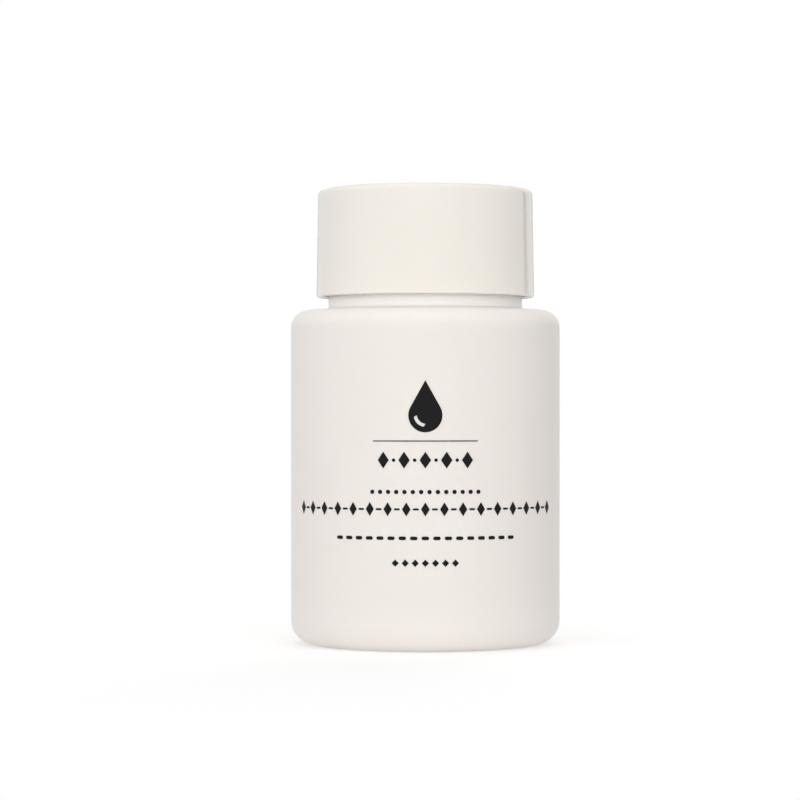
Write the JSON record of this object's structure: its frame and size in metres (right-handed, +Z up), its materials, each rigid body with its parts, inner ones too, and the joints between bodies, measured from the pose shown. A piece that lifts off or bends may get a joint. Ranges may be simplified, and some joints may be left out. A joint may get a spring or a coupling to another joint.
{
  "type": "nail polish remover sponge jar",
  "caption": "Round moulded jar with a screw neck, a foam sponge with a finger hole inside, and a smooth screw cap with a sealing liner.",
  "frame": {"origin": "centre of the jar's base, on the surface that it stands on", "axes": "+Z up along the jar's axis, through the cap; -Y faces the viewer of the picture, and +X is on the viewer's right"},
  "size_m": [0.0485, 0.0484, 0.0817],
  "materials": {
    "jar": "satin off-white polyethylene",
    "sponge": "open-cell foam",
    "liner": "white foamed polyethylene",
    "cap": "glossy off-white polypropylene"
  },
  "bodies": {
    "jar_body": {"jar": "jar", "sponge": "sponge"},
    "liner_body": {"cap_liner": "liner"},
    "cap_body": {"cap": "cap"}
  },
  "joints": [
    {"name": "cap_rise", "type": "slide", "parent": "jar_body", "child": "liner_body", "axis": [0, 0, 1], "range_m": [0, 0.0423]},
    {"name": "cap_turn", "type": "hinge", "parent": "liner_body", "child": "cap_body", "pos_m": [0, 0, 0.0624], "axis": [0, 0, 1], "range_deg": [0, 3600]}
  ],
  "couplings": [
    {"joint": "cap_rise", "follows": "cap_turn", "m_per_rad": 0.00067323}
  ]
}
